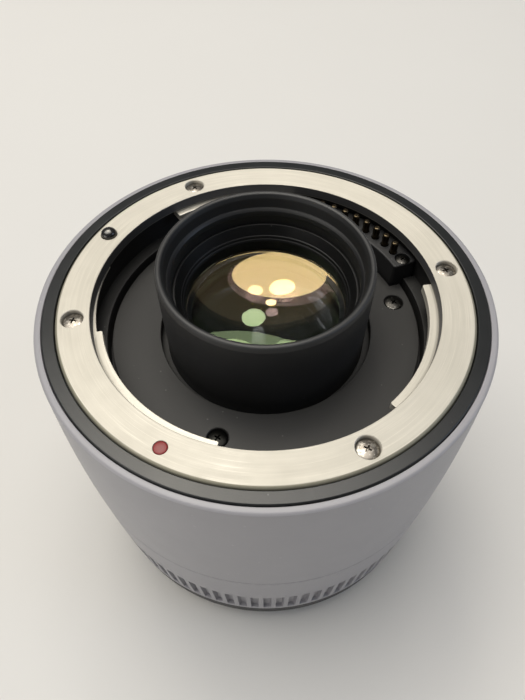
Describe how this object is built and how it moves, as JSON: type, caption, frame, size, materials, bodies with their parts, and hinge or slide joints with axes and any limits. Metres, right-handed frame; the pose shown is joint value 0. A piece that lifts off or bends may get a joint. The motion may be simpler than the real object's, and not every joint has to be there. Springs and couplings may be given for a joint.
{
  "type": "camera teleconverter",
  "caption": "Tele extender that fits between a camera and a lens: ribbed light barrel, metal bayonet at each end, protruding front lens tube, sprung lens release and contact pins.",
  "frame": {"origin": "centre of the rear bayonet's end, on the optical axis, where the part stands", "axes": "+Z along the optical axis, from the camera end to the lens end; +X to the right in the picture"},
  "size_m": [0.0718, 0.0718, 0.0699],
  "materials": {
    "barrel_paint": "satin",
    "mount_steel": "fine turned",
    "screw_steel": "bright",
    "pin_steel": "polished",
    "spring_steel": "plain",
    "black_aluminium": "matte anodised",
    "black_plastic": "matte",
    "contact_gold": "gold plated",
    "index_red": "gloss",
    "gasket_rubber": "matte",
    "optical_glass": "coated",
    "board_green": "gloss",
    "chip_black": "matte",
    "flex_amber": "satin"
  },
  "bodies": {
    "housing": {"front_barrel": "barrel_paint", "rear_barrel": "barrel_paint", "front_mount_ring": "mount_steel", "rear_mount_ring": "mount_steel", "front_mount_screws": "screw_steel", "rear_mount_screws": "screw_steel", "floor_plate_screws": "screw_steel", "contact_block_screws": "screw_steel", "lens_tube_screws": "screw_steel", "rear_cell_screws": "screw_steel", "circuit_board_screws": "screw_steel", "mount_leaf_springs": "spring_steel", "lock_pin_spring": "spring_steel", "contact_springs": "spring_steel", "front_trim_ring": "black_aluminium", "floor_plate": "black_aluminium", "lens_tube": "black_aluminium", "front_retaining_ring": "black_aluminium", "front_frame": "black_aluminium", "rear_frame": "black_aluminium", "rear_lens_cell": "black_aluminium", "rear_retaining_ring": "black_aluminium", "front_spacer": "black_aluminium", "middle_spacer": "black_aluminium", "rear_spacer": "black_aluminium", "contact_block": "black_plastic", "rear_contact_block": "black_plastic", "rear_light_baffle": "black_plastic", "rear_ring": "black_plastic", "rear_contact_pads": "contact_gold", "front_index_dot": "index_red", "rear_index_mark": "index_red", "mount_gasket": "gasket_rubber", "lens_element_1": "optical_glass", "lens_element_2": "optical_glass", "lens_element_3": "optical_glass", "lens_element_4": "optical_glass", "lens_element_5": "optical_glass", "lens_element_6": "optical_glass", "lens_element_7": "optical_glass", "lens_element_8": "optical_glass", "lens_element_9": "optical_glass", "circuit_board": "board_green", "circuit_chip": "chip_black", "front_flex_cable": "flex_amber", "rear_flex_cable": "flex_amber"},
    "release": {"lens_lock_pin": "pin_steel", "release_slider": "black_plastic", "release_lever": "black_plastic"},
    "contact_pin_01": {"contact_pin_01": "contact_gold"},
    "contact_pin_02": {"contact_pin_02": "contact_gold"},
    "contact_pin_03": {"contact_pin_03": "contact_gold"},
    "contact_pin_04": {"contact_pin_04": "contact_gold"},
    "contact_pin_05": {"contact_pin_05": "contact_gold"},
    "contact_pin_06": {"contact_pin_06": "contact_gold"},
    "contact_pin_07": {"contact_pin_07": "contact_gold"},
    "contact_pin_08": {"contact_pin_08": "contact_gold"},
    "contact_pin_09": {"contact_pin_09": "contact_gold"},
    "contact_pin_10": {"contact_pin_10": "contact_gold"}
  },
  "joints": [
    {"name": "lens_release", "type": "slide", "parent": "housing", "child": "release", "axis": [0, 0, -1], "range_m": [0, 0.002], "stiffness_N_per_m": 350, "springref_m": -0.002, "deforming": ["lock_pin_spring"]},
    {"name": "contact_pin_01_press", "type": "slide", "parent": "housing", "child": "contact_pin_01", "axis": [0, 0, -1], "range_m": [0, 0.0009], "stiffness_N_per_m": 250, "springref_m": -0.0009, "deforming": ["contact_springs"]},
    {"name": "contact_pin_02_press", "type": "slide", "parent": "housing", "child": "contact_pin_02", "axis": [0, 0, -1], "range_m": [0, 0.0009], "stiffness_N_per_m": 250, "springref_m": -0.0009, "deforming": ["contact_springs"]},
    {"name": "contact_pin_03_press", "type": "slide", "parent": "housing", "child": "contact_pin_03", "axis": [0, 0, -1], "range_m": [0, 0.0009], "stiffness_N_per_m": 250, "springref_m": -0.0009, "deforming": ["contact_springs"]},
    {"name": "contact_pin_04_press", "type": "slide", "parent": "housing", "child": "contact_pin_04", "axis": [0, 0, -1], "range_m": [0, 0.0009], "stiffness_N_per_m": 250, "springref_m": -0.0009, "deforming": ["contact_springs"]},
    {"name": "contact_pin_05_press", "type": "slide", "parent": "housing", "child": "contact_pin_05", "axis": [0, 0, -1], "range_m": [0, 0.0009], "stiffness_N_per_m": 250, "springref_m": -0.0009, "deforming": ["contact_springs"]},
    {"name": "contact_pin_06_press", "type": "slide", "parent": "housing", "child": "contact_pin_06", "axis": [0, 0, -1], "range_m": [0, 0.0009], "stiffness_N_per_m": 250, "springref_m": -0.0009, "deforming": ["contact_springs"]},
    {"name": "contact_pin_07_press", "type": "slide", "parent": "housing", "child": "contact_pin_07", "axis": [0, 0, -1], "range_m": [0, 0.0009], "stiffness_N_per_m": 250, "springref_m": -0.0009, "deforming": ["contact_springs"]},
    {"name": "contact_pin_08_press", "type": "slide", "parent": "housing", "child": "contact_pin_08", "axis": [0, 0, -1], "range_m": [0, 0.0009], "stiffness_N_per_m": 250, "springref_m": -0.0009, "deforming": ["contact_springs"]},
    {"name": "contact_pin_09_press", "type": "slide", "parent": "housing", "child": "contact_pin_09", "axis": [0, 0, -1], "range_m": [0, 0.0009], "stiffness_N_per_m": 250, "springref_m": -0.0009, "deforming": ["contact_springs"]},
    {"name": "contact_pin_10_press", "type": "slide", "parent": "housing", "child": "contact_pin_10", "axis": [0, 0, -1], "range_m": [0, 0.0009], "stiffness_N_per_m": 250, "springref_m": -0.0009, "deforming": ["contact_springs"]}
  ]
}
